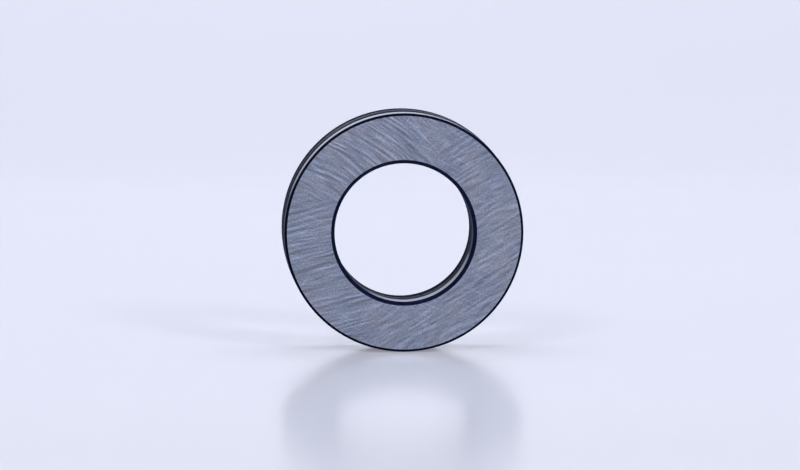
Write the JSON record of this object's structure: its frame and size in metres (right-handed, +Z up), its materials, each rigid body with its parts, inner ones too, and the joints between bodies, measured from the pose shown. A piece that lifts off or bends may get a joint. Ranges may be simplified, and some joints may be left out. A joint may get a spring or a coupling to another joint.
{
  "type": "thrust ball bearing",
  "caption": "Single-direction thrust ball bearing: grooved shaft washer and housing washer with a ring of balls in a pressed steel cage between them.",
  "frame": {"origin": "the bearing's centre: on its axis, half way between the two seating faces", "axes": "+Y along the bearing's axis, from the shaft washer to the housing washer; +Z up, with the bearing standing on its rim"},
  "size_m": [0.052, 0.016, 0.052],
  "materials": {
    "ground_steel": "ground through-hardened bearing steel, crossing grinding lines on the face, dark heat-blued chamfers",
    "dark_steel": "ground face and polished groove, dark unground bore and rim",
    "pressed_steel": "satin pressed sheet steel",
    "polished_ball": "mirror-polished bearing ball"
  },
  "bodies": {
    "housing_side": {"housing_washer": "dark_steel"},
    "shaft_side": {"shaft_washer": "ground_steel"},
    "cage_ring": {"cage": "pressed_steel"},
    "rolling_ball_01": {"ball_01": "polished_ball"},
    "rolling_ball_02": {"ball_02": "polished_ball"},
    "rolling_ball_03": {"ball_03": "polished_ball"},
    "rolling_ball_04": {"ball_04": "polished_ball"},
    "rolling_ball_05": {"ball_05": "polished_ball"},
    "rolling_ball_06": {"ball_06": "polished_ball"},
    "rolling_ball_07": {"ball_07": "polished_ball"},
    "rolling_ball_08": {"ball_08": "polished_ball"},
    "rolling_ball_09": {"ball_09": "polished_ball"},
    "rolling_ball_10": {"ball_10": "polished_ball"},
    "rolling_ball_11": {"ball_11": "polished_ball"},
    "rolling_ball_12": {"ball_12": "polished_ball"},
    "rolling_ball_13": {"ball_13": "polished_ball"},
    "rolling_ball_14": {"ball_14": "polished_ball"},
    "rolling_ball_15": {"ball_15": "polished_ball"}
  },
  "joints": [
    {"name": "shaft_spin", "type": "hinge", "parent": "housing_side", "child": "shaft_side", "pos_m": [0, 0, 0], "axis": [0, 1, 0], "continuous": true},
    {"name": "cage_orbit", "type": "hinge", "parent": "housing_side", "child": "cage_ring", "pos_m": [0, 0, 0], "axis": [0, 1, 0], "continuous": true},
    {"name": "ball_01_roll", "type": "hinge", "parent": "cage_ring", "child": "rolling_ball_01", "pos_m": [0.0205, 0, 0], "axis": [1, 0, 0], "continuous": true},
    {"name": "ball_02_roll", "type": "hinge", "parent": "cage_ring", "child": "rolling_ball_02", "pos_m": [0.01873, 0, -0.00834], "axis": [0.9135, 0, -0.4067], "continuous": true},
    {"name": "ball_03_roll", "type": "hinge", "parent": "cage_ring", "child": "rolling_ball_03", "pos_m": [0.01372, 0, -0.01523], "axis": [0.6691, 0, -0.7431], "continuous": true},
    {"name": "ball_04_roll", "type": "hinge", "parent": "cage_ring", "child": "rolling_ball_04", "pos_m": [0.00633, 0, -0.0195], "axis": [0.309, 0, -0.9511], "continuous": true},
    {"name": "ball_05_roll", "type": "hinge", "parent": "cage_ring", "child": "rolling_ball_05", "pos_m": [-0.00214, 0, -0.02039], "axis": [-0.1045, 0, -0.9945], "continuous": true},
    {"name": "ball_06_roll", "type": "hinge", "parent": "cage_ring", "child": "rolling_ball_06", "pos_m": [-0.01025, 0, -0.01775], "axis": [-0.5, 0, -0.866], "continuous": true},
    {"name": "ball_07_roll", "type": "hinge", "parent": "cage_ring", "child": "rolling_ball_07", "pos_m": [-0.01658, 0, -0.01205], "axis": [-0.809, 0, -0.5878], "continuous": true},
    {"name": "ball_08_roll", "type": "hinge", "parent": "cage_ring", "child": "rolling_ball_08", "pos_m": [-0.02005, 0, -0.00426], "axis": [-0.9781, 0, -0.2079], "continuous": true},
    {"name": "ball_09_roll", "type": "hinge", "parent": "cage_ring", "child": "rolling_ball_09", "pos_m": [-0.02005, 0, 0.00426], "axis": [-0.9781, 0, 0.2079], "continuous": true},
    {"name": "ball_10_roll", "type": "hinge", "parent": "cage_ring", "child": "rolling_ball_10", "pos_m": [-0.01658, 0, 0.01205], "axis": [-0.809, 0, 0.5878], "continuous": true},
    {"name": "ball_11_roll", "type": "hinge", "parent": "cage_ring", "child": "rolling_ball_11", "pos_m": [-0.01025, 0, 0.01775], "axis": [-0.5, 0, 0.866], "continuous": true},
    {"name": "ball_12_roll", "type": "hinge", "parent": "cage_ring", "child": "rolling_ball_12", "pos_m": [-0.00214, 0, 0.02039], "axis": [-0.1045, 0, 0.9945], "continuous": true},
    {"name": "ball_13_roll", "type": "hinge", "parent": "cage_ring", "child": "rolling_ball_13", "pos_m": [0.00633, 0, 0.0195], "axis": [0.309, 0, 0.9511], "continuous": true},
    {"name": "ball_14_roll", "type": "hinge", "parent": "cage_ring", "child": "rolling_ball_14", "pos_m": [0.01372, 0, 0.01523], "axis": [0.6691, 0, 0.7431], "continuous": true},
    {"name": "ball_15_roll", "type": "hinge", "parent": "cage_ring", "child": "rolling_ball_15", "pos_m": [0.01873, 0, 0.00834], "axis": [0.9135, 0, 0.4067], "continuous": true}
  ],
  "couplings": [
    {"joint": "cage_orbit", "follows": "shaft_spin", "ratio": 0.5},
    {"joint": "ball_01_roll", "follows": "shaft_spin", "ratio": 2.5825},
    {"joint": "ball_02_roll", "follows": "shaft_spin", "ratio": 2.5825},
    {"joint": "ball_03_roll", "follows": "shaft_spin", "ratio": 2.5825},
    {"joint": "ball_04_roll", "follows": "shaft_spin", "ratio": 2.5825},
    {"joint": "ball_05_roll", "follows": "shaft_spin", "ratio": 2.5825},
    {"joint": "ball_06_roll", "follows": "shaft_spin", "ratio": 2.5825},
    {"joint": "ball_07_roll", "follows": "shaft_spin", "ratio": 2.5825},
    {"joint": "ball_08_roll", "follows": "shaft_spin", "ratio": 2.5825},
    {"joint": "ball_09_roll", "follows": "shaft_spin", "ratio": 2.5825},
    {"joint": "ball_10_roll", "follows": "shaft_spin", "ratio": 2.5825},
    {"joint": "ball_11_roll", "follows": "shaft_spin", "ratio": 2.5825},
    {"joint": "ball_12_roll", "follows": "shaft_spin", "ratio": 2.5825},
    {"joint": "ball_13_roll", "follows": "shaft_spin", "ratio": 2.5825},
    {"joint": "ball_14_roll", "follows": "shaft_spin", "ratio": 2.5825},
    {"joint": "ball_15_roll", "follows": "shaft_spin", "ratio": 2.5825}
  ]
}
